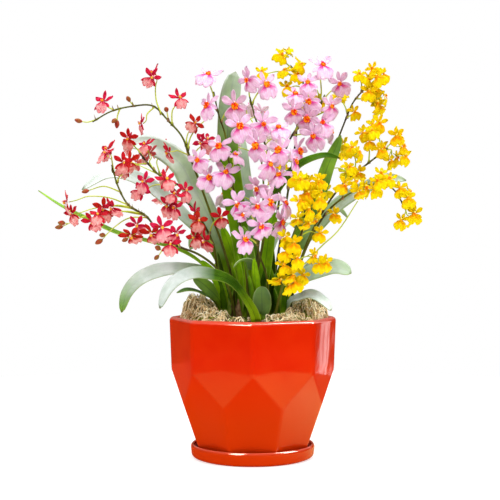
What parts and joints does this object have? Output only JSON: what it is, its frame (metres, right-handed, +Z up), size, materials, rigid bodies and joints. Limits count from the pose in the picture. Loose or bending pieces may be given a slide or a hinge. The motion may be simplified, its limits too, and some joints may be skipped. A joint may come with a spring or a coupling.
{
  "type": "potted dancing lady orchid",
  "caption": "Dancing lady orchids with red, pink and yellow flower sprays and strap leaves, growing from bark and moss in a faceted glazed pot on a round saucer.",
  "frame": {"origin": "centre of the saucer's flat underside, on the surface that the plant stands on", "axes": "+Z up, -Y towards the front that a corner of the pot faces, +X to the right seen from the front"},
  "size_m": [0.3757, 0.2154, 0.4146],
  "materials": {
    "red_glaze": "glossy red-orange glaze",
    "bark_mix": "rough damp bark chips",
    "dried_moss": "curly dried moss",
    "leaf_green": "satin leaf",
    "red_spray": "soft petals on green stems",
    "pink_spray": "soft petals on green stems",
    "yellow_spray": "soft petals on green stems"
  },
  "bodies": {
    "root": {"saucer": "red_glaze", "pot": "red_glaze", "potting_mix": "bark_mix", "moss": "dried_moss", "shoot_front": "leaf_green", "shoot_pink_back": "leaf_green", "shoot_pink_middle": "leaf_green", "shoot_pink_tall": "leaf_green", "shoot_red_back": "leaf_green", "shoot_red_front": "leaf_green", "shoot_yellow_back": "leaf_green", "shoot_yellow_front": "leaf_green", "shoot_yellow_tall": "leaf_green", "spray_pink_back": "pink_spray", "spray_pink_left": "pink_spray", "spray_pink_low": "pink_spray", "spray_pink_middle": "pink_spray", "spray_pink_right": "pink_spray", "spray_red_arching": "red_spray", "spray_red_back": "red_spray", "spray_red_front": "red_spray", "spray_red_middle": "red_spray", "spray_yellow_back": "yellow_spray", "spray_yellow_front": "yellow_spray", "spray_yellow_side": "yellow_spray", "spray_yellow_top": "yellow_spray", "spray_yellow_upper": "yellow_spray", "spray_yellow_weeping": "yellow_spray"}
  },
  "joints": []
}
